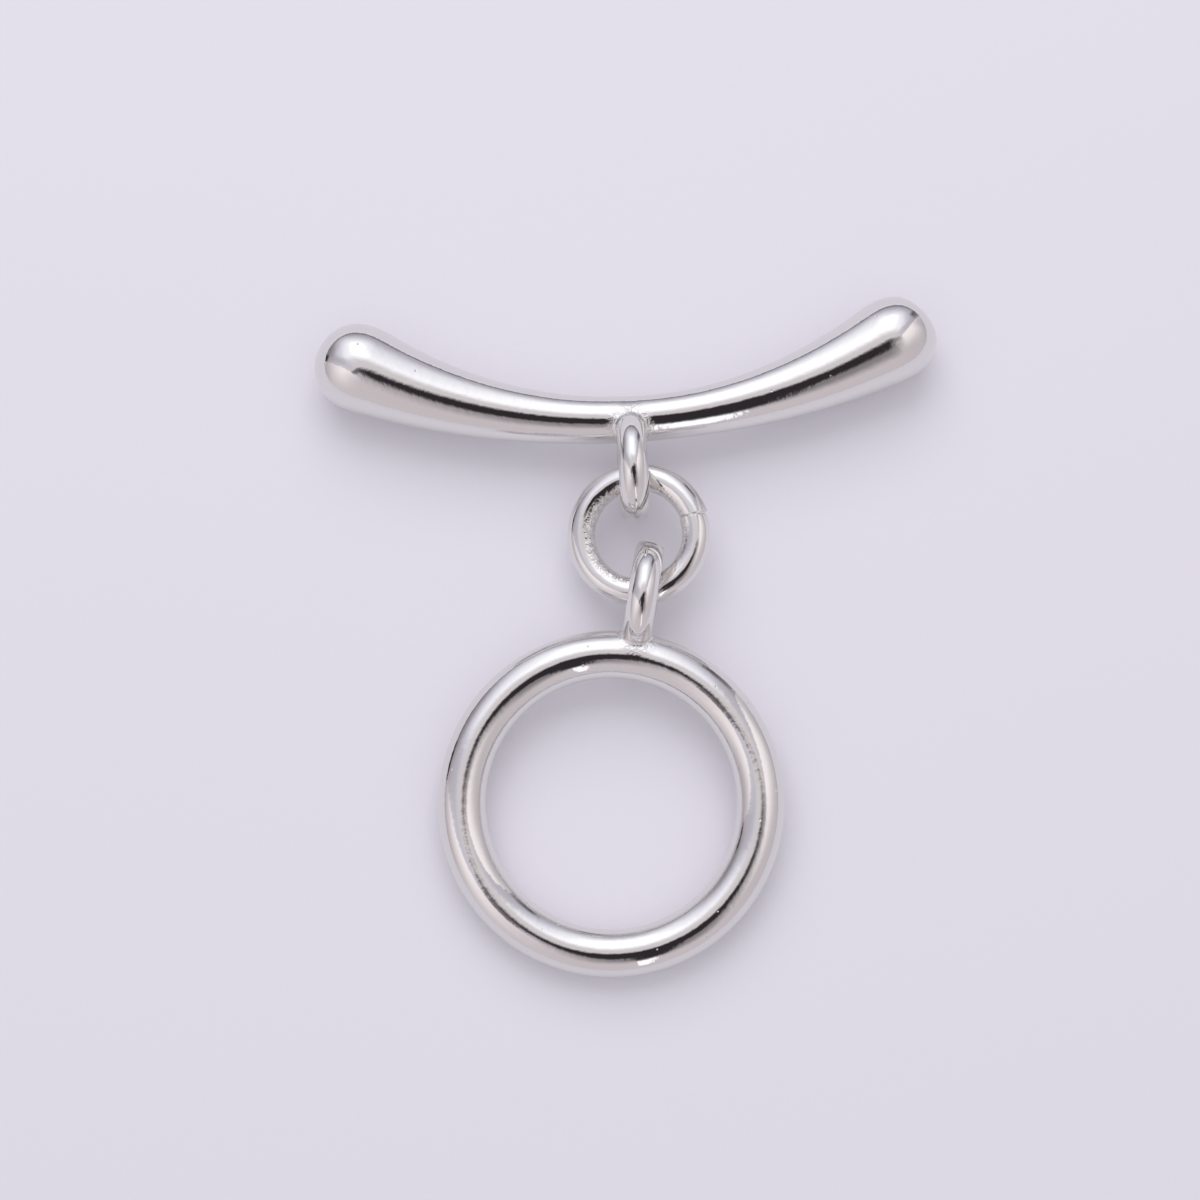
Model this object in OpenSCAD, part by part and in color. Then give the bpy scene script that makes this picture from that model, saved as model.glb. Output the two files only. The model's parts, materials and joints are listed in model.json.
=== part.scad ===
// Toggle clasp: a bent bar with bulb ends, a jump ring and a round ring, lying on a flat surface.
// The bar and the ring each carry a closed wire eye that stands upright, and the jump ring links the eyes.
// Millimetres. +X runs along the bar, +Y from the ring to the bar, +Z up from the surface.

/* [Bar] */
// Length of the bar from tip to tip, along its centre line
bar_length = 27.2; // [24:0.2:34]
// Diameter of the bar at its waist
bar_waist_d = 1.95; // [1.5:0.05:2.4]
// Diameter of the bulbs at the two ends
bar_bulb_d = 3.65; // [2.8:0.05:4.2]
// Radius of the bend at the middle of the bar
bar_bend_r = 23; // [19:0.5:40]

/* [Eyes] */
// Outer diameter of the two eyes
eye_outer_d = 4.6; // [4.5:0.05:5]
// Diameter of the wire of the eyes
eye_wire_d = 1.22; // [1:0.02:1.3]
// Distance from the bar's centre line to the middle of its eye
bar_eye_reach = 2.15; // [1.9:0.05:2.3]
// Distance from the centre line of the ring's wire to the middle of its eye
ring_eye_reach = 2.54; // [2.3:0.02:2.7]
// Depth of the small flat on the outer end of the ring's eye
eye_flat_depth = 0.1; // [0.02:0.01:0.2]

/* [Jump ring] */
// Outer diameter of the jump ring
jump_outer_d = 6; // [5.7:0.02:7]
// Diameter of the jump ring's wire
jump_wire_d = 1.16; // [0.9:0.02:1.3]
// Width of the gap between the jump ring's two ends
seam_gap = 0.05; // [0.03:0.01:0.12]
// Direction of the seam, from +X towards +Y
seam_angle = 18; // [0:1:45]

/* [Ring] */
// Outer diameter of the ring
ring_outer_d = 14.3; // [13:0.1:18]
// Diameter of the ring's wire
ring_wire_d = 1.98; // [1.7:0.02:2.4]

/* [Lay] */
// Turn of the bar, seen from above
bar_turn = 3.1; // [0:0.1:8]
// Direction from the ring's middle to its eye, from +X towards +Y
ring_azimuth = 81.2; // [74:0.1:90]
// Clearance between the jump ring's wire and the eyes that it hangs in
link_gap = 0.04; // [0.03:0.01:0.08]
// Place of the wire in the bar's eye, round from the bottom of the hole towards the ring
wire_turn_bar = 80; // [60:1:90]
// Place of the wire in the ring's eye, round from the bottom of the hole towards the bar
wire_turn_ring = 19; // [0:1:40]
// Direction from the middle of the jump ring to the bar's eye, from +X towards +Y
bar_side_angle = 97; // [85:0.5:100]
// Direction from the middle of the jump ring to the ring's eye, from +X towards +Y
ring_side_angle = 273; // [262:0.5:280]
// Roll of the jump ring about the line through the two eyes: its left side hangs lower
jump_roll = 10; // [0:0.5:12]

/* [Hidden] */
$fn = 96;

silver = [0.8, 0.8, 0.82];

half_length = bar_length / 2;
waist_r = bar_waist_d / 2;
bulb_r = bar_bulb_d / 2;
eye_outer_r = eye_outer_d / 2;
eye_wire_r = eye_wire_d / 2;
eye_mid_r = eye_outer_r - eye_wire_r;
eye_hole_r = eye_mid_r - eye_wire_r;
jump_wire_r = jump_wire_d / 2;
jump_mid_r = jump_outer_d / 2 - jump_wire_r;
ring_wire_r = ring_wire_d / 2;
ring_mid_r = ring_outer_d / 2 - ring_wire_r;

// Places along half of the bar, as shares of its half length, 0 at the middle and 1 at the tip
bend_full_share = 0.59; // the bend keeps its radius up to here
bend_ease_share = 0.59; // and eases off over this much more
swell_share = 0.134; // the bar starts to swell here
swell_softness = 0.08;
swell_power = 1.5;
cap_share = 0.81; // the bulb's round end starts here
cap_power = 2.28;

body_steps = 20; // sections from the middle to the round end
cap_steps = 9; // sections in the round end
bar_sides = 36; // corners of each section

body_shares = [for (i = [0:body_steps]) cap_share * i / body_steps];
cap_shares = [for (i = [1:cap_steps]) cap_share + (1 - cap_share) * sin(90 * i / cap_steps)];
half_shares = concat(body_shares, cap_shares);
half_count = len(half_shares);

// Thickness of the bar: a waist that swells towards the bulb, closed by a round end
function swell(share) =
    let (past = share - swell_share)
    pow((past + sqrt(past * past + swell_softness * swell_softness)) / 2, swell_power);
function closing(share) =
    sqrt(max(0, 1 - pow(max(0, (share - cap_share) / (1 - cap_share)), cap_power)));
// The largest swelling that keeps every section within the bulb's diameter
swell_gain = min([for (share = half_shares)
    if (share > 0.5 && share < 1) (bulb_r / closing(share) - waist_r) / swell(share)]);
function bar_r(share) = (waist_r + swell_gain * swell(share)) * closing(share);

// Centre line of half of the bar: the heading turns with the bend, and the points follow the heading
function smooth(x) = let (t = min(1, max(0, x))) t * t * (3 - 2 * t);
function bend_at(share) = (1 - smooth((share - bend_full_share) / bend_ease_share)) / bar_bend_r;
function stretch(i) = (half_shares[i] - half_shares[i - 1]) * half_length;
function turn_over(i) =
    stretch(i) * (bend_at(half_shares[i]) + bend_at(half_shares[i - 1])) / 2 * 180 / PI;
headings = [for (i = 0, heading = 0; i < half_count;
    i = i + 1, heading = i < half_count ? heading + turn_over(i) : heading) heading];
function along(i) =
    let (heading = (headings[i] + headings[i - 1]) / 2) stretch(i) * [cos(heading), sin(heading)];
half_line = [for (i = 0, point = [0, 0]; i < half_count;
    i = i + 1, point = i < half_count ? point + along(i) : point) point];

// Whole centre line from the left tip to the right tip, as [x, y, heading, radius]
right_half = [for (i = [0:half_count - 1])
    [half_line[i][0], half_line[i][1], headings[i], bar_r(half_shares[i])]];
left_half = [for (i = [half_count - 1:-1:1])
    [-half_line[i][0], half_line[i][1], -headings[i], bar_r(half_shares[i])]];
sections = concat(left_half, right_half);
last_section = len(sections) - 1;

// Corners of the bar: a tip point, the sections' corners, and the other tip point
function section_corner(section, angle) =
    let (r = section[3] * cos(angle), heading = section[2])
    [section[0] - r * sin(heading), section[1] + r * cos(heading), section[3] * sin(angle)];
bar_corners = concat(
    [[sections[0][0], sections[0][1], 0]],
    [for (i = [1:last_section - 1]) for (k = [0:bar_sides - 1])
        section_corner(sections[i], 360 * k / bar_sides)],
    [[sections[last_section][0], sections[last_section][1], 0]]);
last_corner = len(bar_corners) - 1;
rounds = last_section - 1;
function corner(i, k) = 1 + i * bar_sides + k % bar_sides;
bar_faces = concat(
    [for (k = [0:bar_sides - 1]) [0, corner(0, k), corner(0, k + 1)]],
    [for (i = [0:rounds - 2]) for (k = [0:bar_sides - 1])
        each [[corner(i, k), corner(i + 1, k), corner(i + 1, k + 1)],
              [corner(i, k), corner(i + 1, k + 1), corner(i, k + 1)]]],
    [for (k = [0:bar_sides - 1]) [last_corner, corner(rounds - 1, k + 1), corner(rounds - 1, k)]]);

// How the bar lies: on its upright eye and its two bulbs, so it tips up towards the eye
bar_tilt = min([for (section = sections)
    if (section[3] > waist_r) asin((eye_outer_r - section[3]) / (bar_eye_reach + section[1]))]);
bar_lift = eye_outer_r - bar_eye_reach * sin(bar_tilt);
function turned(v, angle) =
    [v[0] * cos(angle) - v[1] * sin(angle), v[0] * sin(angle) + v[1] * cos(angle), v[2]];
function tipped(v, angle) =
    [v[0], v[1] * cos(angle) - v[2] * sin(angle), v[1] * sin(angle) + v[2] * cos(angle)];
function laid_bar(v) = turned(tipped(v, -bar_tilt), bar_turn) + [0, 0, bar_lift];
bar_eye = laid_bar([0, -bar_eye_reach, 0]);

// A point on the jump ring's centre line, before it is laid
function jump_wire(angle) = jump_mid_r * [cos(angle), sin(angle), 0];

// How the jump ring lies: its wire stays inside both holes, low in the ring's eye
// and pulled to one side in the bar's
wire_slack = eye_hole_r - jump_wire_r - link_gap;
bar_side = jump_wire(bar_side_angle);
ring_side = jump_wire(ring_side_angle);
jump_tilt = asin(wire_slack * (cos(wire_turn_ring) - cos(wire_turn_bar))
    / (bar_side[1] - ring_side[1]));
wire_at_bar = bar_eye + wire_slack * [
    sin(wire_turn_bar) * sin(bar_turn), -sin(wire_turn_bar) * cos(bar_turn), -cos(wire_turn_bar)];
jump_centre = wire_at_bar - tipped(bar_side, jump_tilt);
wire_at_ring = jump_centre + tipped(ring_side, jump_tilt);

// How the ring lies: on its upright eye and on its far side
ring_tilt = asin((eye_outer_r - ring_wire_r) / (2 * ring_mid_r + ring_eye_reach));
ring_turn = ring_azimuth - 90;
ring_eye = wire_at_ring + wire_slack * [
    -sin(wire_turn_ring) * cos(ring_azimuth),
    -sin(wire_turn_ring) * sin(ring_azimuth),
    cos(wire_turn_ring)];
ring_centre = ring_eye - turned(tipped([0, ring_mid_r + ring_eye_reach, 0], ring_tilt), ring_turn);

// The model's origin is under the middle of the whole clasp
laid_corners = [for (v = bar_corners) laid_bar(v)];
ring_normal = turned(tipped([0, 0, 1], ring_tilt), ring_turn);
low_x = min([for (v = laid_corners) v[0]]);
high_x = max([for (v = laid_corners) v[0]]);
high_y = max([for (v = laid_corners) v[1]]);
low_y = ring_centre[1] - ring_mid_r * sqrt(1 - ring_normal[1] * ring_normal[1]) - ring_wire_r;
origin = [(low_x + high_x) / 2, (low_y + high_y) / 2, 0];

// Round wire bent to a circle about the Z axis
module wire_circle(mid_r, wire_r, from = 0, angle = 360) {
    rotate([0, 0, from])
        rotate_extrude(angle = angle)
            translate([mid_r, 0])
                circle(r = wire_r);
}

// Closed eye standing upright in the YZ plane, centred on the origin
module upright_eye() {
    rotate([0, 90, 0])
        wire_circle(eye_mid_r, eye_wire_r);
}

// The same eye with its +Y end ground flat
module flat_ended_eye() {
    cutter = 2 * eye_outer_d;
    difference() {
        upright_eye();
        translate([-cutter / 2, eye_outer_r - eye_flat_depth, -cutter / 2])
            cube(cutter);
    }
}

// Bent bar with bulb ends and an eye soldered to the outside of its bend
module toggle_bar() {
    color(silver)
        translate(-origin) {
            union() {
                translate([0, 0, bar_lift])
                    rotate([0, 0, bar_turn])
                        rotate([-bar_tilt, 0, 0])
                            polyhedron(points = bar_corners, faces = bar_faces, convexity = 4);
                translate(bar_eye)
                    rotate([0, 0, bar_turn])
                        upright_eye();
            }
        }
}

// Jump ring, closed but for a butt seam
module jump_ring() {
    half_gap = seam_gap / 2 / jump_mid_r * 180 / PI;
    color(silver)
        translate(jump_centre - origin)
            rotate([jump_tilt, 0, 0])
                translate(bar_side)
                    rotate(-jump_roll, v = bar_side - ring_side)
                        translate(-bar_side)
                            wire_circle(jump_mid_r, jump_wire_r, seam_angle + half_gap, 360 - 2 * half_gap);
}

// Round ring that the bar passes through, with an eye soldered to its rim
module toggle_ring() {
    color(silver)
        translate(-origin) {
            union() {
                translate(ring_centre)
                    rotate([0, 0, ring_turn])
                        rotate([ring_tilt, 0, 0])
                            wire_circle(ring_mid_r, ring_wire_r);
                translate(ring_eye)
                    rotate([0, 0, ring_turn])
                        flat_ended_eye();
            }
        }
}

toggle_bar();
jump_ring();
toggle_ring();
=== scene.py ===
# Toggle clasp: a bent bar with bulb ends, a jump ring and a round ring, in polished silver-coloured metal.
# Sizes are in millimetres until a mesh is made, and the model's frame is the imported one.
import json
import math

import bmesh
import bpy
import numpy as np
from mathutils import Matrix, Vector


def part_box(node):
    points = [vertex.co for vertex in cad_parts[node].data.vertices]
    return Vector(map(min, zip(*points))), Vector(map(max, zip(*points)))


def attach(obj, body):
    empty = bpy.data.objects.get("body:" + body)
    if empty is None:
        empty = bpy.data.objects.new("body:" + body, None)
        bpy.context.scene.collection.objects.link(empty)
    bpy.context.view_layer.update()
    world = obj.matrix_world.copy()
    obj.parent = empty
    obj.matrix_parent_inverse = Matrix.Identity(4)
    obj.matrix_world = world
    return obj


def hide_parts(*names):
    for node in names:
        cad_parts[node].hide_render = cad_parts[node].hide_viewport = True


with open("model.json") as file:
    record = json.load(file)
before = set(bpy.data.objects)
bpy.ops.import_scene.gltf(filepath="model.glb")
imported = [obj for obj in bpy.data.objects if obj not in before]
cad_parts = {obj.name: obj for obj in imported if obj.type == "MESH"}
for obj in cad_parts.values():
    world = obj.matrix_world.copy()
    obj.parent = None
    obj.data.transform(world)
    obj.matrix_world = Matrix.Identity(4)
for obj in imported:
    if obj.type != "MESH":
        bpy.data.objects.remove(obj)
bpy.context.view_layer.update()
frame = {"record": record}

MM = 0.001

# Bar
BAR_LENGTH = 27.2
BAR_WAIST_D = 1.95
BAR_BULB_D = 3.65
BAR_BEND_R = 23
BEND_FULL_SHARE = 0.59
BEND_EASE_SHARE = 0.59
SWELL_SHARE = 0.134
SWELL_SOFTNESS = 0.08
SWELL_POWER = 1.5
CAP_SHARE = 0.81
CAP_POWER = 2.28
LEFT_FATTER = 0.018  # share by which the left half is thicker and the right half thinner
MIDDLE_BLEND = 1.2
RIGHT_FLAT_TURN = 42  # the right bulb is a little flatter on its upper right side
RIGHT_FLAT_REACH = 0.6

# Eyes
EYE_OUTER_D = 4.6
EYE_WIRE_D = 1.22
BAR_EYE_REACH = 2.15
EYE_FLAT_DEPTH = 0.2  # the ring's eye is filed flat at its outer end
EYE_FLAT_SLOPE = 0.15
EYE_FLAT_ROUNDING = 0.02
SQUARE_TO = 12  # its wire is squarer there, within these degrees of the end
SQUARE_FADE = 24
SQUARE_POWER = 3
SQUARE_RISE = 0.15
LIP_HEIGHT = 0.055  # a burr runs round the flat
LIP_DEPTH = 0.07
LIP_BLEND = 0.03
CORNER_HEIGHT = 0.11  # and a sharp corner stands at its left
CORNER_MIDDLE = 0.3
CORNER_HALF_WIDTH = 0.17
FINE_FROM = 1.9  # the mesh is finer from here to the end
FINE_CUTS = 2

# Jump ring
JUMP_OUTER_D = 6
JUMP_WIRE_D = 1.16
JUMP_TIP = 3.5  # up towards the bar's eye
JUMP_ROLL = 9  # its left side hangs lower
JUMP_ROLL_ABOUT = 95  # direction of the line through the eyes
JUMP_SHIFT = (-0.07, 0.07, 0.02)  # from the solid's place, as the links have slid
JUMP_WORN_AT = 151  # its wire is a little flattened there
JUMP_WORN_REACH = 9
JUMP_WORN_FADE = 14
JUMP_WORN_DEPTH = 0.0045
JUMP_WORN_LEAN = -12
JUMP_WORN_ROUNDING = 0.003
SEAM_ANGLE = 18
SEAM_GAP = 0.05
SEAM_SLANT = 10
SEAM_STEP = 0.045
SEAM_STEP_REACH = 12
SEAM_ROUNDING = 0.03

# Ring
RING_OUTER_D = 14.3
RING_WIRE_D = 1.98

# Lay
BAR_TURN = 3.1
RING_AZIMUTH = 81.2

# Solder at the foot of each eye
FILLET = 0.16

# Meshes of the fused pieces
BAR_VOXEL = 0.064
RING_VOXEL = 0.067
JUMP_VOXEL = 0.04
TUBE_SIDES = 24
CIRCLE_ROWS = 96
BAR_ROWS = 120
BAR_TUBE_SHARE = 0.998  # its tube stops just short of the tips
BAR_TUBE_LEAST_R_SQUARED = 0.01
SETTLE_STEPS = 6
PROBE = 0.001

# Lines and searches
LINE_PAST_TIP = 2
LINE_POINTS = 8001
LINE_STEPS = 6
BULB_FROM = 0.5  # share of the half length beyond which the bulb lies
BULB_TO = 0.995
BULB_POINTS = 400

half_length = BAR_LENGTH / 2
waist_r = BAR_WAIST_D / 2
bulb_r = BAR_BULB_D / 2
eye_wire_r = EYE_WIRE_D / 2
eye_mid_r = EYE_OUTER_D / 2 - eye_wire_r
jump_wire_r = JUMP_WIRE_D / 2
jump_mid_r = JUMP_OUTER_D / 2 - jump_wire_r
ring_wire_r = RING_WIRE_D / 2
ring_mid_r = RING_OUTER_D / 2 - ring_wire_r


# Frames: a place and a turn, as the pieces lie
def turn_about_z(degrees):
    c, s = math.cos(math.radians(degrees)), math.sin(math.radians(degrees))
    return np.array([[c, -s, 0], [s, c, 0], [0, 0, 1]])


def tip_about_x(degrees):
    c, s = math.cos(math.radians(degrees)), math.sin(math.radians(degrees))
    return np.array([[1, 0, 0], [0, c, -s], [0, s, c]])


def roll_about_y(degrees):
    t = math.radians(degrees)
    return np.array([[math.cos(t), 0, math.sin(t)], [0, 1, 0], [-math.sin(t), 0, math.cos(t)]])


def into(points, place, turn):
    """Points of the model's frame, seen from a frame at place that is turned by turn."""
    return (points - place) @ turn


def out_of(points, place, turn):
    """Points of a frame at place that is turned by turn, back in the model's frame."""
    return points @ turn.T + place


def mount(name):
    """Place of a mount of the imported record, in millimetres."""
    found = [m for m in frame["record"]["mounts"] if m["name"] == name]
    return np.array(found[0]["pos_m"]) / MM


# Shape of the bar along its centre line
def swell(share):
    """How the bar grows from its waist, at share 0 of its half length, to its bulbs."""
    past = share - SWELL_SHARE
    return ((past + np.sqrt(past**2 + SWELL_SOFTNESS**2)) / 2) ** SWELL_POWER


def closing_squared(share):
    """Square of the share of the radius that is left where the bulb closes at its tip."""
    past_cap = np.maximum(0, (share - CAP_SHARE) / (1 - CAP_SHARE))
    return 1 - past_cap**CAP_POWER


def smooth(x):
    t = np.clip(x, 0, 1)
    return t * t * (3 - 2 * t)


tried = np.linspace(BULB_FROM, BULB_TO, BULB_POINTS)
swell_gain = np.min((bulb_r / np.sqrt(closing_squared(tried)) - waist_r) / swell(tried))


def bar_r_squared(along):
    share = np.abs(along) / half_length
    return (waist_r + swell_gain * swell(share)) ** 2 * closing_squared(share)


def uneven_r_squared(along):
    """The handmade bar: its left half is a little thicker than its right half."""
    return bar_r_squared(along) * (1 - LEFT_FATTER * np.tanh(along / MIDDLE_BLEND)) ** 2


def make_bar_line():
    """The centre line: places along it, with x, y and heading at each, past the tips too."""
    reach = half_length + LINE_PAST_TIP
    along = np.linspace(-reach, reach, LINE_POINTS)
    bend = (1 - smooth((np.abs(along) / half_length - BEND_FULL_SHARE) / BEND_EASE_SHARE)) / BAR_BEND_R
    step = along[1] - along[0]
    middle = len(along) // 2

    def summed(rate):
        total = np.concatenate([[0], np.cumsum((rate[1:] + rate[:-1]) / 2 * step)])
        return total - total[middle]

    heading = summed(bend)
    return along, summed(np.cos(heading)), summed(np.sin(heading)), heading


bar_line = make_bar_line()


def line_at(along):
    places, xs, ys, headings = bar_line
    return np.interp(along, places, xs), np.interp(along, places, ys), np.interp(along, places, headings)


def right_flat(x, y):
    """Distance past a plane that touches the right bulb on its upper right side."""
    bulb_x, bulb_y, _ = line_at(half_length - bulb_r)
    turn = math.radians(RIGHT_FLAT_TURN)
    return (x - bulb_x) * math.cos(turn) + (y - bulb_y) * math.sin(turn) - bulb_r


def bar_tilt_angle():
    """The bar rests on its eye and both bulbs."""
    share = np.linspace(BULB_FROM, 1, BULB_POINTS)
    r = np.sqrt(np.maximum(0, bar_r_squared(share * half_length)))
    y = line_at(share * half_length)[1]
    fat = r > waist_r
    eye_outer_r = EYE_OUTER_D / 2
    return math.degrees(np.min(np.arcsin((eye_outer_r - r[fat]) / (BAR_EYE_REACH + y[fat]))))


# Where the pieces lie
bar_upright = turn_about_z(BAR_TURN)
bar_turned = bar_upright @ tip_about_x(-bar_tilt_angle())
bar_eye_place = mount("bar_eye")
bar_place = bar_eye_place + bar_turned @ [0, BAR_EYE_REACH, 0]

ring_upright = turn_about_z(RING_AZIMUTH - 90)
ring_eye_place = mount("ring_eye")
ring_place = mount("ring_opening")
ring_reach = np.linalg.norm(ring_eye_place - ring_place)
ring_tilt = math.degrees(math.asin((ring_eye_place - ring_place)[2] / ring_reach))
ring_turned = ring_upright @ tip_about_x(ring_tilt)

jump_low, jump_high = (np.array(corner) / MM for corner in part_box("jump_ring"))
jump_place = (jump_low + jump_high) / 2 + JUMP_SHIFT
towards_eye = turn_about_z(JUMP_ROLL_ABOUT - 90)
jump_turned = tip_about_x(JUMP_TIP) @ towards_eye @ roll_about_y(-JUMP_ROLL) @ towards_eye.T


# Distance fields, in millimetres: below 0 inside the metal
def bar_field(points):
    local = into(points, bar_place, bar_turned)
    x, y, z = local.T
    places, xs = bar_line[:2]
    along = np.interp(x, xs, places)
    for _ in range(LINE_STEPS):
        centre_x, centre_y, heading = line_at(along)
        along = along + (x - centre_x) * np.cos(heading) + (y - centre_y) * np.sin(heading)
    centre_x, centre_y, heading = line_at(along)
    spread = (x - centre_x) ** 2 + (y - centre_y) ** 2 + z**2
    room = uneven_r_squared(along)
    slope = (uneven_r_squared(along + PROBE) - uneven_r_squared(along - PROBE)) / (4 * PROBE)
    whole = (spread - room) / (2 * np.sqrt(spread + slope**2 + PROBE))
    return cut(whole, right_flat(x, y), RIGHT_FLAT_REACH)


def wire_field(local, axis, mid_r, wire_r):
    """A round wire bent to a circle about one of the axes of a local frame."""
    a, b = [local[:, i] for i in range(3) if i != axis]
    return np.hypot(np.hypot(a, b) - mid_r, local[:, axis]) - wire_r


def fused(first, second, reach):
    """Joins two fields with a fillet that starts reach away from the corner."""
    near = np.maximum(reach - np.abs(first - second), 0) / reach
    return np.minimum(first, second) - near**2 * reach / 4


def cut(field, keep, rounding):
    """Keeps the part of a field where keep is below 0, with a rounded edge."""
    near = np.maximum(rounding - np.abs(field - keep), 0) / rounding
    return np.maximum(field, keep) + near**2 * rounding / 4


def bar_piece(points):
    eye = wire_field(into(points, bar_eye_place, bar_upright), 0, eye_mid_r, eye_wire_r)
    return fused(bar_field(points), eye, FILLET)


def squarer(local, wire):
    """The outer side of an eye's wire, squarer towards the eye's outer end."""
    out = np.hypot(local[:, 1], local[:, 2]) - eye_mid_r
    powers = np.abs(out) ** SQUARE_POWER + np.abs(local[:, 0]) ** SQUARE_POWER
    box = powers ** (1 / SQUARE_POWER) - eye_wire_r
    around = np.abs(np.degrees(np.arctan2(local[:, 2], local[:, 1])))
    share = (1 - smooth((around - SQUARE_TO) / SQUARE_FADE)) * smooth(out / SQUARE_RISE)
    return wire + (box - wire) * share


def ring_piece(points):
    band = wire_field(into(points, ring_place, ring_turned), 2, ring_mid_r, ring_wire_r)
    local = into(points, ring_eye_place, ring_upright)
    eye = squarer(local, wire_field(local, 0, eye_mid_r, eye_wire_r))
    flat = local[:, 1] + EYE_FLAT_SLOPE * local[:, 0] - (EYE_OUTER_D / 2 - EYE_FLAT_DEPTH)
    near_flat = -flat - LIP_DEPTH
    lip = np.maximum(eye - LIP_HEIGHT, near_flat)
    corner = np.maximum(np.abs(local[:, 0] + CORNER_MIDDLE) - CORNER_HALF_WIDTH, eye - CORNER_HEIGHT)
    corner = np.maximum(corner, near_flat)
    eye = cut(fused(eye, np.minimum(lip, corner), LIP_BLEND), flat, EYE_FLAT_ROUNDING)
    return fused(band, eye, FILLET)


def jump_piece(points):
    local = into(points, jump_place, jump_turned)
    seam = math.radians(SEAM_ANGLE)
    outward = local[:, 0] * math.cos(seam) + local[:, 1] * math.sin(seam)
    along = local[:, 1] * math.cos(seam) - local[:, 0] * math.sin(seam)
    past_seam = np.degrees(np.arctan2(along, outward))
    bent_out = SEAM_STEP * np.sign(past_seam) * np.exp(-np.abs(past_seam) / SEAM_STEP_REACH)
    stretch = 1 - bent_out / jump_mid_r
    stretched = local * np.stack([stretch, stretch, np.ones_like(stretch)], 1)
    wire = wire_field(stretched, 2, jump_mid_r, jump_wire_r)
    around = np.degrees(np.arctan2(local[:, 1], local[:, 0])) - JUMP_WORN_AT
    around = np.abs((around + 180) % 360 - 180)
    # The facet's plane is in the wire near its middle and stands clear of the wire past its fade
    depth = JUMP_WORN_DEPTH * (1 - 2 * smooth((around - JUMP_WORN_REACH) / JUMP_WORN_FADE))
    lean = math.radians(JUMP_WORN_LEAN)
    from_wire = np.hypot(local[:, 0], local[:, 1]) - jump_mid_r
    worn = from_wire * math.sin(lean) + local[:, 2] * math.cos(lean) - (jump_wire_r - depth)
    wire = cut(wire, worn, JUMP_WORN_ROUNDING)
    slant = math.radians(SEAM_SLANT)
    across = along * math.cos(slant) + (outward - jump_mid_r) * math.sin(slant)
    gap = np.where(outward > 0, SEAM_GAP / 2 - np.abs(across), -1)
    return cut(wire, gap, SEAM_ROUNDING)


# Meshes
def tube(centres, sides_a, sides_b, radii, closed):
    """Corners and faces of a round tube along a line, with a flat face at each end unless it is closed."""
    count = TUBE_SIDES
    turn = np.arange(count) * 2 * math.pi / count
    rows = centres[:, None] + radii[:, None, None] * (
        np.cos(turn)[None, :, None] * sides_a[:, None] + np.sin(turn)[None, :, None] * sides_b[:, None])
    corners = rows.reshape(-1, 3)
    last = len(centres)
    faces = []
    for i in range(last if closed else last - 1):
        for k in range(count):
            this, following = i * count, (i + 1) % last * count
            faces.append((this + k, following + k, following + (k + 1) % count, this + (k + 1) % count))
    if not closed:
        faces.append(tuple(range(count)))
        faces.append(tuple((last - 1) * count + k for k in reversed(range(count))))
    return corners, faces


def circle_tube(mid_r, wire_r, axis, place, turn):
    """A round tube bent to a circle about one of the axes of a frame."""
    angles = np.arange(CIRCLE_ROWS) * 2 * math.pi / CIRCLE_ROWS
    outward = np.zeros((CIRCLE_ROWS, 3))
    first, second = [i for i in range(3) if i != axis]
    outward[:, first], outward[:, second] = np.cos(angles), np.sin(angles)
    along_axis = np.zeros((CIRCLE_ROWS, 3))
    along_axis[:, axis] = -1 if axis == 2 else 1
    corners, faces = tube(mid_r * outward, outward, along_axis, np.full(CIRCLE_ROWS, wire_r), True)
    return out_of(corners, place, turn), faces


def bar_tube():
    """The bar as a round tube, from which its mesh starts."""
    share = np.sin(np.linspace(-0.5, 0.5, BAR_ROWS) * math.pi)
    along = share * half_length * BAR_TUBE_SHARE
    x, y, heading = line_at(along)
    flat = np.zeros_like(x)
    centres = np.stack([x, y, flat], 1)
    across = np.stack([-np.sin(heading), np.cos(heading), flat], 1)
    upward = np.stack([flat, flat, flat + 1], 1)
    radii = np.sqrt(np.maximum(bar_r_squared(along), BAR_TUBE_LEAST_R_SQUARED))
    corners, faces = tube(centres, across, upward, radii, False)
    return out_of(corners, bar_place, bar_turned), faces


def slope_of(field, points):
    """Direction in which a field grows fastest."""
    slope = np.empty_like(points)
    for i in range(3):
        step = np.zeros(3)
        step[i] = PROBE
        slope[:, i] = field(points + step) - field(points - step)
    return slope / np.linalg.norm(slope, axis=1, keepdims=True)


def made_finer(mesh, where):
    """Divides the faces of a part of a mesh."""
    points = np.empty(len(mesh.vertices) * 3)
    mesh.vertices.foreach_get("co", points)
    chosen = where(points.reshape(-1, 3))
    work = bmesh.new()
    work.from_mesh(mesh)
    edges = [edge for edge in work.edges if chosen[edge.verts[0].index] and chosen[edge.verts[1].index]]
    bmesh.ops.subdivide_edges(work, edges=edges, cuts=FINE_CUTS, use_grid_fill=True)
    work.to_mesh(mesh)
    work.free()


def eye_end(points):
    """The outer end of the ring's eye, with its flat and its burr."""
    return into(points, ring_eye_place, ring_upright)[:, 1] > FINE_FROM


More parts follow.
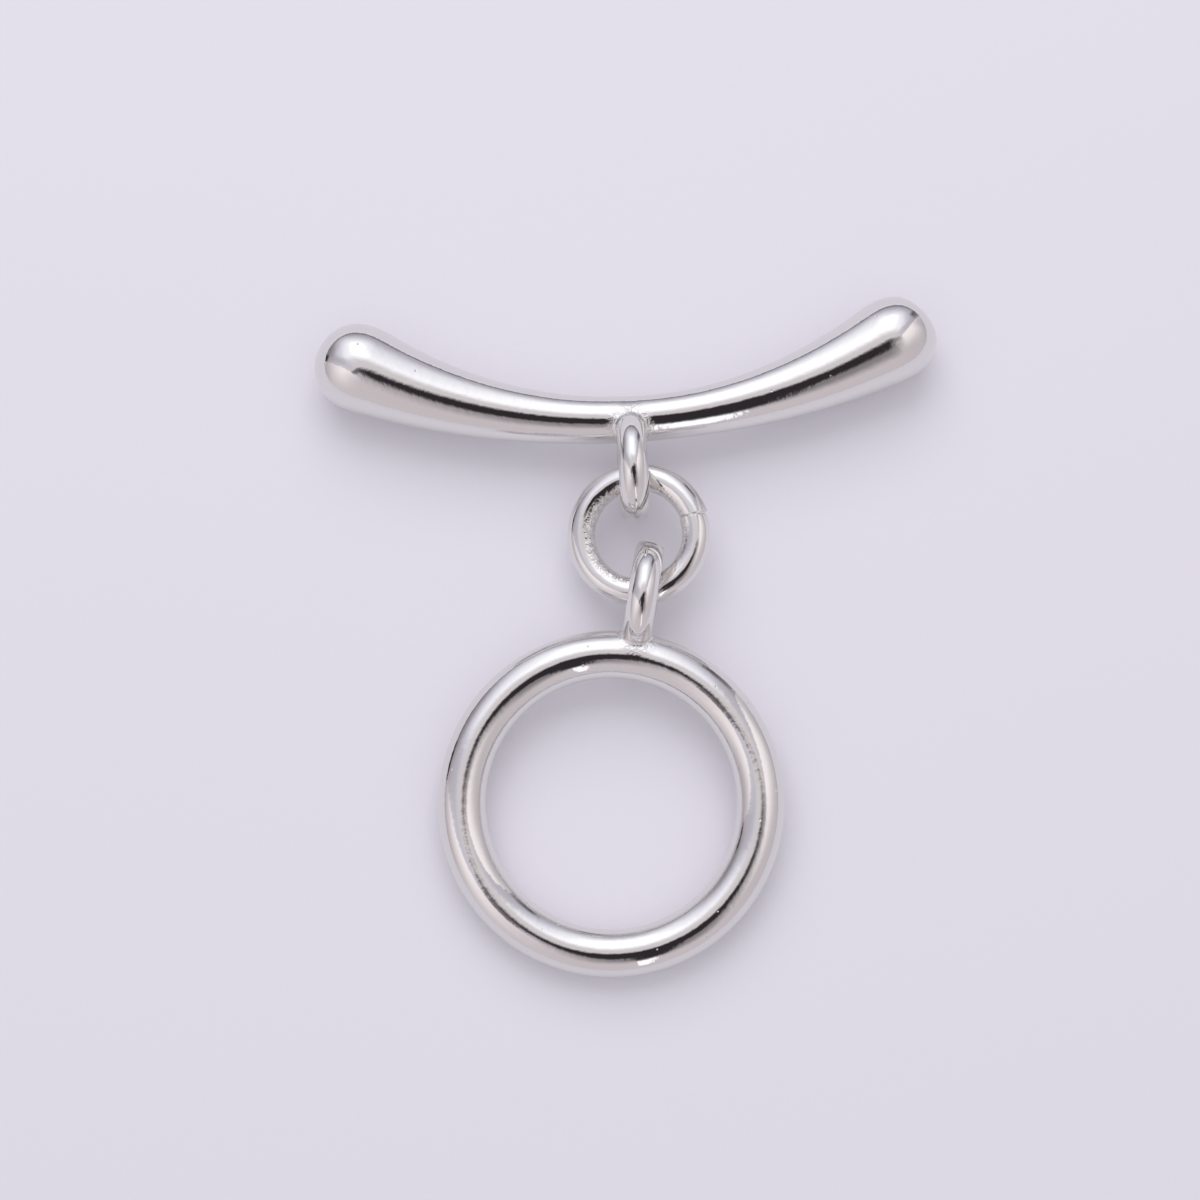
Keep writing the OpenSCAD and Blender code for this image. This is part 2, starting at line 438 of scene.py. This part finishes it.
def fused_mesh(name, tubes, field, voxel, fine=None):
    """One closed mesh of all the tubes, with its corners settled on the field's surface."""
    corners, faces = [], []
    for tube_corners, tube_faces in tubes:
        start = sum(len(c) for c in corners)
        corners.append(tube_corners)
        faces += [tuple(start + i for i in face) for face in tube_faces]
    rough = bpy.data.meshes.new(name)
    rough.from_pydata(np.concatenate(corners).tolist(), [], faces)
    piece = bpy.data.objects.new(name, rough)
    bpy.context.scene.collection.objects.link(piece)
    remesh = piece.modifiers.new("fuse", "REMESH")
    remesh.mode = "VOXEL"
    remesh.voxel_size = voxel
    graph = bpy.context.evaluated_depsgraph_get()
    mesh = bpy.data.meshes.new_from_object(piece.evaluated_get(graph))
    piece.modifiers.clear()
    piece.data = mesh
    bpy.data.meshes.remove(rough)
    mesh.name = name
    if fine:
        made_finer(mesh, fine)
    points = np.empty(len(mesh.vertices) * 3)
    mesh.vertices.foreach_get("co", points)
    points = points.reshape(-1, 3)
    for _ in range(SETTLE_STEPS):
        points -= slope_of(field, points) * field(points)[:, None]
    normals = slope_of(field, points)
    mesh.vertices.foreach_set("co", (points * MM).ravel())
    mesh.update()
    mesh.polygons.foreach_set("use_smooth", np.ones(len(mesh.polygons), bool))
    mesh.normals_split_custom_set_from_vertices(normals.tolist())
    return piece


bar = fused_mesh(
    "bar_with_eye",
    [bar_tube(), circle_tube(eye_mid_r, eye_wire_r, 0, bar_eye_place, bar_upright)],
    bar_piece, BAR_VOXEL)
ring = fused_mesh(
    "ring_with_eye",
    [circle_tube(ring_mid_r, ring_wire_r, 2, ring_place, ring_turned),
     circle_tube(eye_mid_r, eye_wire_r, 0, ring_eye_place, ring_upright)],
    ring_piece, RING_VOXEL, eye_end)
jump = fused_mesh(
    "linking_ring",
    [circle_tube(jump_mid_r, jump_wire_r, 2, jump_place, jump_turned)],
    jump_piece, JUMP_VOXEL)

for piece, node, slot in (
        (bar, "toggle_bar", "polished_bar"),
        (ring, "toggle_ring", "polished_ring"),
        (jump, "jump_ring", "polished_wire")):
    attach(piece, "root")
    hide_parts(node)


# Materials
METAL_COLOUR = (0.8, 0.79, 0.77, 1)
METAL_ROUGHNESS = 0.04
WAVE_SIZE = 1.6
WAVE_DETAIL = 1
WAVE_DEPTH = 0.006
JUMP_WAVE_DEPTH = 0.01
GRAIN_SIZE = 0.3
GRAIN_DETAIL = 2
GRAIN_DEPTH = 0.005
PIT_SIZE = 0.06
PIT_SPACING = 0.6
PIT_SHARE = 0.4
PIT_DEPTH = 0.02

# Rough zones: uneven solder, and the hammered inner side of the jump ring
ROUGH_ZONE = "rough_zone"
ROUGH_SIZE = 0.24
ROUGH_DETAIL = 2
ROUGH_DISTORTION = 1.5
SOLDER_DEPTH = 0.05
HAMMERED_DEPTH = 0.12
ZONE_ROUGHNESS = 0.05
SOLDER_REACH = 0.55
HAMMERED_FROM = 105  # degrees round the jump ring's wire, from its outer side
HAMMERED_FADE = 35
HAMMERED_LEAST = 0.25  # its share on the right
HAMMERED_TURN = 20  # degrees of the jump ring's side that is hammered least
HAMMERED_MIDDLE = 0.5
HAMMERED_SPREAD = 0.75


def add_node(tree, kind, operation=None):
    node = tree.nodes.new(kind)
    if operation:
        node.operation = operation
    return node


def noise(tree, size, detail, distortion=0):
    """Noise whose lumps are about as wide as the size, in millimetres."""
    texture = add_node(tree, "ShaderNodeTexNoise")
    texture.inputs["Scale"].default_value = 1 / (size * MM)
    texture.inputs["Detail"].default_value = detail
    texture.inputs["Distortion"].default_value = distortion
    tree.links.new(add_node(tree, "ShaderNodeTexCoord").outputs["Object"], texture.inputs["Vector"])
    return texture.outputs["Fac"]


def bump(tree, height, depth, below=None):
    """Surface relief of the depth in millimetres, over what is below it."""
    relief = add_node(tree, "ShaderNodeBump")
    relief.inputs["Distance"].default_value = depth * MM
    tree.links.new(height, relief.inputs["Height"])
    if below:
        tree.links.new(below, relief.inputs["Normal"])
    return relief.outputs[0]


def spots(tree, size, spacing, share):
    """Small round pits: 1 at their middle, in a share of the cells of a grid."""
    cells = add_node(tree, "ShaderNodeTexVoronoi")
    cells.inputs["Scale"].default_value = 1 / (spacing * MM)
    tree.links.new(add_node(tree, "ShaderNodeTexCoord").outputs["Object"], cells.inputs["Vector"])
    near = add_node(tree, "ShaderNodeMapRange")
    near.interpolation_type = "SMOOTHSTEP"
    tree.links.new(cells.outputs["Distance"], near.inputs["Value"])
    near.inputs["From Min"].default_value = 0
    near.inputs["From Max"].default_value = size / spacing
    near.inputs["To Min"].default_value = 1
    near.inputs["To Max"].default_value = 0
    chance = add_node(tree, "ShaderNodeSeparateXYZ")
    tree.links.new(cells.outputs["Color"], chance.inputs[0])
    chosen = add_node(tree, "ShaderNodeMath", "LESS_THAN")
    tree.links.new(chance.outputs["X"], chosen.inputs[0])
    chosen.inputs[1].default_value = share
    pits = add_node(tree, "ShaderNodeMath", "MULTIPLY")
    tree.links.new(near.outputs[0], pits.inputs[0])
    tree.links.new(chosen.outputs[0], pits.inputs[1])
    return pits.outputs[0]


def times(tree, first, second):
    product = add_node(tree, "ShaderNodeMath", "MULTIPLY")
    tree.links.new(first, product.inputs[0])
    tree.links.new(second, product.inputs[1])
    return product.outputs[0]


def polished_metal(name, wave_depth, grain_depth, rough_depth):
    """Mirror-polished metal with slow waves, a fine grain, a few pits and the piece's rough zones."""
    material = bpy.data.materials.new(name)
    material.use_nodes = True
    tree = material.node_tree
    shader = tree.nodes["Principled BSDF"]
    shader.inputs["Base Color"].default_value = METAL_COLOUR
    shader.inputs["Metallic"].default_value = 1
    zone = add_node(tree, "ShaderNodeAttribute")
    zone.attribute_name = ROUGH_ZONE
    waves = bump(tree, noise(tree, WAVE_SIZE, WAVE_DETAIL), wave_depth)
    grain = bump(tree, noise(tree, GRAIN_SIZE, GRAIN_DETAIL), grain_depth, waves)
    pits = bump(tree, spots(tree, PIT_SIZE, PIT_SPACING, PIT_SHARE), -PIT_DEPTH, grain)
    uneven = noise(tree, ROUGH_SIZE, ROUGH_DETAIL, ROUGH_DISTORTION)
    lumps = times(tree, uneven, zone.outputs["Fac"])
    tree.links.new(bump(tree, lumps, rough_depth, pits), shader.inputs["Normal"])
    rougher = add_node(tree, "ShaderNodeMapRange")
    tree.links.new(zone.outputs["Fac"], rougher.inputs["Value"])
    rougher.inputs["To Min"].default_value = METAL_ROUGHNESS
    rougher.inputs["To Max"].default_value = ZONE_ROUGHNESS
    tree.links.new(rougher.outputs[0], shader.inputs["Roughness"])
    return material


def mark_rough_zone(piece, zone):
    """Keeps, for each corner of the mesh, how rough it is: 0 to 1."""
    mesh = piece.data
    points = np.empty(len(mesh.vertices) * 3)
    mesh.vertices.foreach_get("co", points)
    points = points.reshape(-1, 3) / MM
    attribute = mesh.attributes.new(ROUGH_ZONE, "FLOAT", "POINT")
    attribute.data.foreach_set("value", np.clip(zone(points), 0, 1))


def near_solder(points, body, eye_place, eye_turn):
    """Rough where the eye meets the body."""
    eye = wire_field(into(points, eye_place, eye_turn), 0, eye_mid_r, eye_wire_r)
    return 1 - smooth((np.abs(body) + np.abs(eye)) / SOLDER_REACH)


def bar_zone(points):
    return near_solder(points, bar_field(points), bar_eye_place, bar_upright)


def ring_zone(points):
    band = wire_field(into(points, ring_place, ring_turned), 2, ring_mid_r, ring_wire_r)
    return near_solder(points, band, ring_eye_place, ring_upright)


def jump_zone(points):
    """Rough on the inner side, most of all on the left."""
    local = into(points, jump_place, jump_turned)
    around = np.arctan2(local[:, 1], local[:, 0])
    out = np.hypot(local[:, 0], local[:, 1]) - jump_mid_r
    side = np.degrees(np.arctan2(local[:, 2], out))
    inner = smooth((np.abs(side) - HAMMERED_FROM) / HAMMERED_FADE)
    turned = np.cos(around - math.radians(HAMMERED_TURN))
    leftward = smooth(HAMMERED_MIDDLE - HAMMERED_SPREAD * turned)
    return inner * (HAMMERED_LEAST + (1 - HAMMERED_LEAST) * leftward)


for piece, zone, depths in (
        (bar, bar_zone, (WAVE_DEPTH, GRAIN_DEPTH, SOLDER_DEPTH)),
        (ring, ring_zone, (WAVE_DEPTH, GRAIN_DEPTH, SOLDER_DEPTH)),
        (jump, jump_zone, (JUMP_WAVE_DEPTH, GRAIN_DEPTH, HAMMERED_DEPTH))):
    mark_rough_zone(piece, zone)
    piece.data.materials.clear()
    piece.data.materials.append(polished_metal(piece.name + "_metal", *depths))

# Floor: pale paper
FLOOR_HALF = 0.6  # in metres
FLOOR_COLOUR = (0.72, 0.69, 0.79, 1)
# Painted light: the paper glows a little, which lightens the shadows cast on it
FLOOR_PAINTED_LIGHT = (0.108, 0.105, 0.102, 1)
FLOOR_ROUGHNESS = 0.9
PAPER_GRAIN_SIZE = 0.5
PAPER_GRAIN_DETAIL = 3
PAPER_GRAIN_DEPTH = 0.004
floor_mesh = bpy.data.meshes.new("floor")
floor_mesh.from_pydata(
    [(-FLOOR_HALF, -FLOOR_HALF, 0), (FLOOR_HALF, -FLOOR_HALF, 0), (FLOOR_HALF, FLOOR_HALF, 0),
     (-FLOOR_HALF, FLOOR_HALF, 0)], [], [(0, 1, 2, 3)])
floor = bpy.data.objects.new("floor", floor_mesh)
bpy.context.scene.collection.objects.link(floor)
floor_material = bpy.data.materials.new("floor_paper")
floor_material.use_nodes = True
floor_tree = floor_material.node_tree
floor_shader = floor_tree.nodes["Principled BSDF"]
floor_shader.inputs["Base Color"].default_value = FLOOR_COLOUR
floor_shader.inputs["Roughness"].default_value = FLOOR_ROUGHNESS
# Painted light: a faint glow of the paper itself lightens its shadows
floor_shader.inputs["Emission Color"].default_value = FLOOR_PAINTED_LIGHT
floor_shader.inputs["Emission Strength"].default_value = 1
fibres = noise(floor_tree, PAPER_GRAIN_SIZE, PAPER_GRAIN_DETAIL)
paper_grain = bump(floor_tree, fibres, PAPER_GRAIN_DEPTH)
floor_tree.links.new(paper_grain, floor_shader.inputs["Normal"])
floor_mesh.materials.append(floor_material)

# Camera: seen nearly from above, tilted towards the ring's side
CAMERA_TILT = 10
CAMERA_DISTANCE = 140
CAMERA_VIEW = 20.26
AIM_FROM_BAR = np.array([-1.248, -7.584])
AIM_HEIGHT = 1.5
CAMERA_CLIP_START = 1
aim = np.array([*(bar_place[:2] + AIM_FROM_BAR), AIM_HEIGHT])
tilt = math.radians(CAMERA_TILT)
camera_data = bpy.data.cameras.new("camera")
camera_data.sensor_fit = "HORIZONTAL"
camera_data.angle = math.radians(CAMERA_VIEW)
camera_data.clip_start = CAMERA_CLIP_START * MM
camera = bpy.data.objects.new("camera", camera_data)
camera.location = (aim + CAMERA_DISTANCE * np.array([0, -math.sin(tilt), math.cos(tilt)])) * MM
camera.rotation_euler = (tilt, 0, 0)
bpy.context.scene.collection.objects.link(camera)
bpy.context.scene.camera = camera

# Light
# The clasp stands in a tent of paper under a soft box. The metal mirrors all of it, so each part is placed
# on a flat map of the sky, in degrees from the zenith, to the right and towards the bar's side. Each part
# has its middle, half size, turn, softness, colour and strength, and covers those above it in the list.
# Colours are as the metal shows them, from 0 to 255.
EVEN_LIGHT = (0.84, 0.84, 0.84, 1)  # lights the paper, and darkens towards the horizon
EVEN_FROM = 20
EVEN_TO = 90
EVEN_EDGE = (115, 115, 115)
SOFT_BOX_LEAN = 38  # degrees from the zenith, towards the bar's side
SOFT_BOX_SIDE = -8
SOFT_BOX_DISTANCE = 0.28  # in metres, as its size
SOFT_BOX_SIZE = (0.24, 0.24)
SOFT_BOX_POWER = 0.32
TENT = (186, 180, 184)
TENT_PARTS = [
    ("upper horizon", (0, 92), (120, 60), 0, 0.9, (140, 136, 144), 1),
    ("wide glow", (-9, 30), (43, 41), 0, 1.5, (222, 219, 231), 1),
    ("glow", (-6, 36), (24, 27), 0, 1.2, (247, 246, 250), 1),
    ("soft box", (-5, 39), (14, 18), 0, 0.8, (262, 260, 262), 1),
    ("left shade", (-50, 9), (34, 9), -26, 1.5, (168, 165, 176), 0.75),
    ("right shade", (29, 20), (34, 6), 57, 1.4, (176, 171, 180), 0.8),
    ("right dark end", (57, 69), (20, 9), 52, 0.9, (38, 35, 38), 1),
    ("zenith", (1, 2), (20, 12), 0, 1.3, (203, 196, 197), 0.95),
    ("left wall", (-67, -30), (52, 30), -30, 0.13, (240, 231, 232), 1),
    ("left far end", (-108, -10), (44, 90), 0, 1.4, (170, 162, 167), 1),
    ("left horizon shade", (-84, 44), (24, 20), -10, 1.5, (100, 97, 105), 0.7),
    ("left dark end", (-86, 25), (10, 9), -24, 1.0, (34, 31, 34), 0.95),
    ("right wall", (74.9, 6.9), (62, 40), 58, 0.08, (240, 232, 232), 1),
    ("right far end", (108, 0), (44, 90), 0, 1.4, (168, 161, 165), 1),
    ("right high shade", (66, 46), (18, 18), 0, 1.5, (150, 146, 154), 0.5),
    ("lower right", (52, -56), (66, 38), 42, 1.1, (187, 179, 181), 1),
    ("lower fade", (-30, -82), (72, 40), 0, 1.4, (196, 187, 190), 1),
    ("lower side", (-2, -64), (30, 36), 0, 1.1, (193, 184, 188), 1),
    ("left arm", (-15, -16.5), (10, 4), 42, 1.1, (84, 74, 74), 0.85),
    ("right arm", (14, -7), (11, 5), 0, 1.3, (112, 104, 106), 0.6),
    ("dark rim", (10, -30), (20, 18.5), 8, 1.3, (112, 107, 110), 0.85),
    ("dark opening", (3, -18), (13, 12.5), 20, 0.7, (46, 40, 43), 1),
    ("dark slot", (7.5, -33), (5.5, 14), 12, 0.9, (46, 41, 44), 1),
    ("narrow lamp", (12.9, -64), (3.3, 13.5), 11, 0.5, (254, 254, 256), 1),
]
EDGE_BEFORE = "left wall"  # this part and those after it stand in front of the horizon's dark edge
EDGE_FROM = 80
EDGE_TO = 90
EDGE_COLOUR = (112, 109, 116)
EDGE_STRENGTH = 0.85


def as_light(colour):
    """Light that the metal shows as a colour from 0 to 255, by the sRGB curve."""
    share = np.array(colour) / 255
    linear = np.where(share > 0.04045, ((share + 0.055) / 1.055) ** 2.4, share / 12.92)
    return (*(linear / METAL_COLOUR[:3]), 1)


def flat_sky(tree):
    """Each direction on the map of the sky, with 1 as third number, and its degrees from the zenith."""
    link = tree.links.new
    direction = add_node(tree, "ShaderNodeTexCoord").outputs["Generated"]
    parts = add_node(tree, "ShaderNodeSeparateXYZ")
    link(direction, parts.inputs[0])
    level = add_node(tree, "ShaderNodeVectorMath", "MULTIPLY")
    link(direction, level.inputs[0])
    level.inputs[1].default_value = (1, 1, 0)
    outward = add_node(tree, "ShaderNodeVectorMath", "NORMALIZE")
    link(level.outputs[0], outward.inputs[0])
    angle = add_node(tree, "ShaderNodeMath", "ARCCOSINE")
    link(parts.outputs["Z"], angle.inputs[0])
    degrees = add_node(tree, "ShaderNodeMath", "DEGREES")
    link(angle.outputs[0], degrees.inputs[0])
    place = add_node(tree, "ShaderNodeVectorMath", "SCALE")
    link(outward.outputs[0], place.inputs[0])
    link(degrees.outputs[0], place.inputs["Scale"])
    lifted = add_node(tree, "ShaderNodeVectorMath", "ADD")
    link(place.outputs[0], lifted.inputs[0])
    lifted.inputs[1].default_value = (0, 0, 1)
    return lifted.outputs[0], degrees.outputs[0]


def lay(tree, reach, start, end, strengths, below, colour):
    """Lays a colour over what is below it, with one strength at the start and another at the end."""
    cover = add_node(tree, "ShaderNodeMapRange")
    cover.interpolation_type = "SMOOTHSTEP"
    tree.links.new(reach, cover.inputs["Value"])
    cover.inputs["From Min"].default_value = start
    cover.inputs["From Max"].default_value = end
    cover.inputs["To Min"].default_value = strengths[0]
    cover.inputs["To Max"].default_value = strengths[1]
    mix = add_node(tree, "ShaderNodeMix")
    mix.data_type = "RGBA"
    tree.links.new(cover.outputs["Result"], mix.inputs["Factor"])
    if hasattr(below, "links"):
        tree.links.new(below, mix.inputs["A"])
    else:
        mix.inputs["A"].default_value = below
    mix.inputs["B"].default_value = as_light(colour)
    return mix.outputs["Result"]


def tent_part(tree, sky, below, middle, half_size, turn, softness, colour, strength):
    """Lays one rounded patch of colour over what is below it on the map."""
    link = tree.links.new
    t = math.radians(turn)
    inside = add_node(tree, "ShaderNodeCombineXYZ")
    for i, side in enumerate(((math.cos(t), math.sin(t)), (-math.sin(t), math.cos(t)))):
        share = add_node(tree, "ShaderNodeVectorMath", "DOT_PRODUCT")
        link(sky, share.inputs[0])
        shift = -(side[0] * middle[0] + side[1] * middle[1])
        share.inputs[1].default_value = [number / half_size[i] for number in (*side, shift)]
        link(share.outputs["Value"], inside.inputs[i])
    squared = add_node(tree, "ShaderNodeVectorMath", "MULTIPLY")
    link(inside.outputs[0], squared.inputs[0])
    link(inside.outputs[0], squared.inputs[1])
    size = add_node(tree, "ShaderNodeVectorMath", "LENGTH")
    link(squared.outputs[0], size.inputs[0])
    reach = add_node(tree, "ShaderNodeMath", "SQRT")
    link(size.outputs["Value"], reach.inputs[0])
    return lay(tree, reach.outputs[0], 1 - softness / 2, 1 + softness / 2, (strength, 0), below, colour)


world = bpy.data.worlds.new("studio")
bpy.context.scene.world = world
world.use_nodes = True
world_tree = world.node_tree
sky, from_zenith = flat_sky(world_tree)
tent = as_light(TENT)
for name, *looks in TENT_PARTS:
    if name == EDGE_BEFORE:
        tent = lay(world_tree, from_zenith, EDGE_FROM, EDGE_TO, (0, EDGE_STRENGTH), tent, EDGE_COLOUR)
    tent = tent_part(world_tree, sky, tent, *looks)
mirrored = add_node(world_tree, "ShaderNodeBackground")
world_tree.links.new(tent, mirrored.inputs["Color"])
# Paper and shadows need no more than the tent's even light, which is far quicker to work out
even = world_tree.nodes["Background"]
overhead = lay(world_tree, from_zenith, EVEN_FROM, EVEN_TO, (0, 1), EVEN_LIGHT, EVEN_EDGE)
world_tree.links.new(overhead, even.inputs["Color"])
ray = add_node(world_tree, "ShaderNodeLightPath")
either = add_node(world_tree, "ShaderNodeMixShader")
world_tree.links.new(ray.outputs["Is Glossy Ray"], either.inputs[0])
world_tree.links.new(even.outputs[0], either.inputs[1])
world_tree.links.new(mirrored.outputs[0], either.inputs[2])
world_tree.links.new(either.outputs[0], world_tree.nodes["World Output"].inputs["Surface"])
world.cycles.sampling_method = "NONE"

soft_box_data = bpy.data.lights.new("soft_box", "AREA")
soft_box_data.shape = "RECTANGLE"
soft_box_data.size = SOFT_BOX_SIZE[0]
soft_box_data.size_y = SOFT_BOX_SIZE[1]
soft_box_data.energy = SOFT_BOX_POWER
soft_box = bpy.data.objects.new("soft_box", soft_box_data)
lean = math.radians(SOFT_BOX_LEAN)
side = math.radians(SOFT_BOX_SIDE)
towards = np.array([math.sin(side) * math.sin(lean), math.cos(side) * math.sin(lean), math.cos(lean)])
soft_box.location = SOFT_BOX_DISTANCE * towards
soft_box.rotation_euler = (-lean, 0, -side)
soft_box.visible_glossy = False
bpy.context.scene.collection.objects.link(soft_box)

bpy.context.scene.view_settings.view_transform = "Standard"
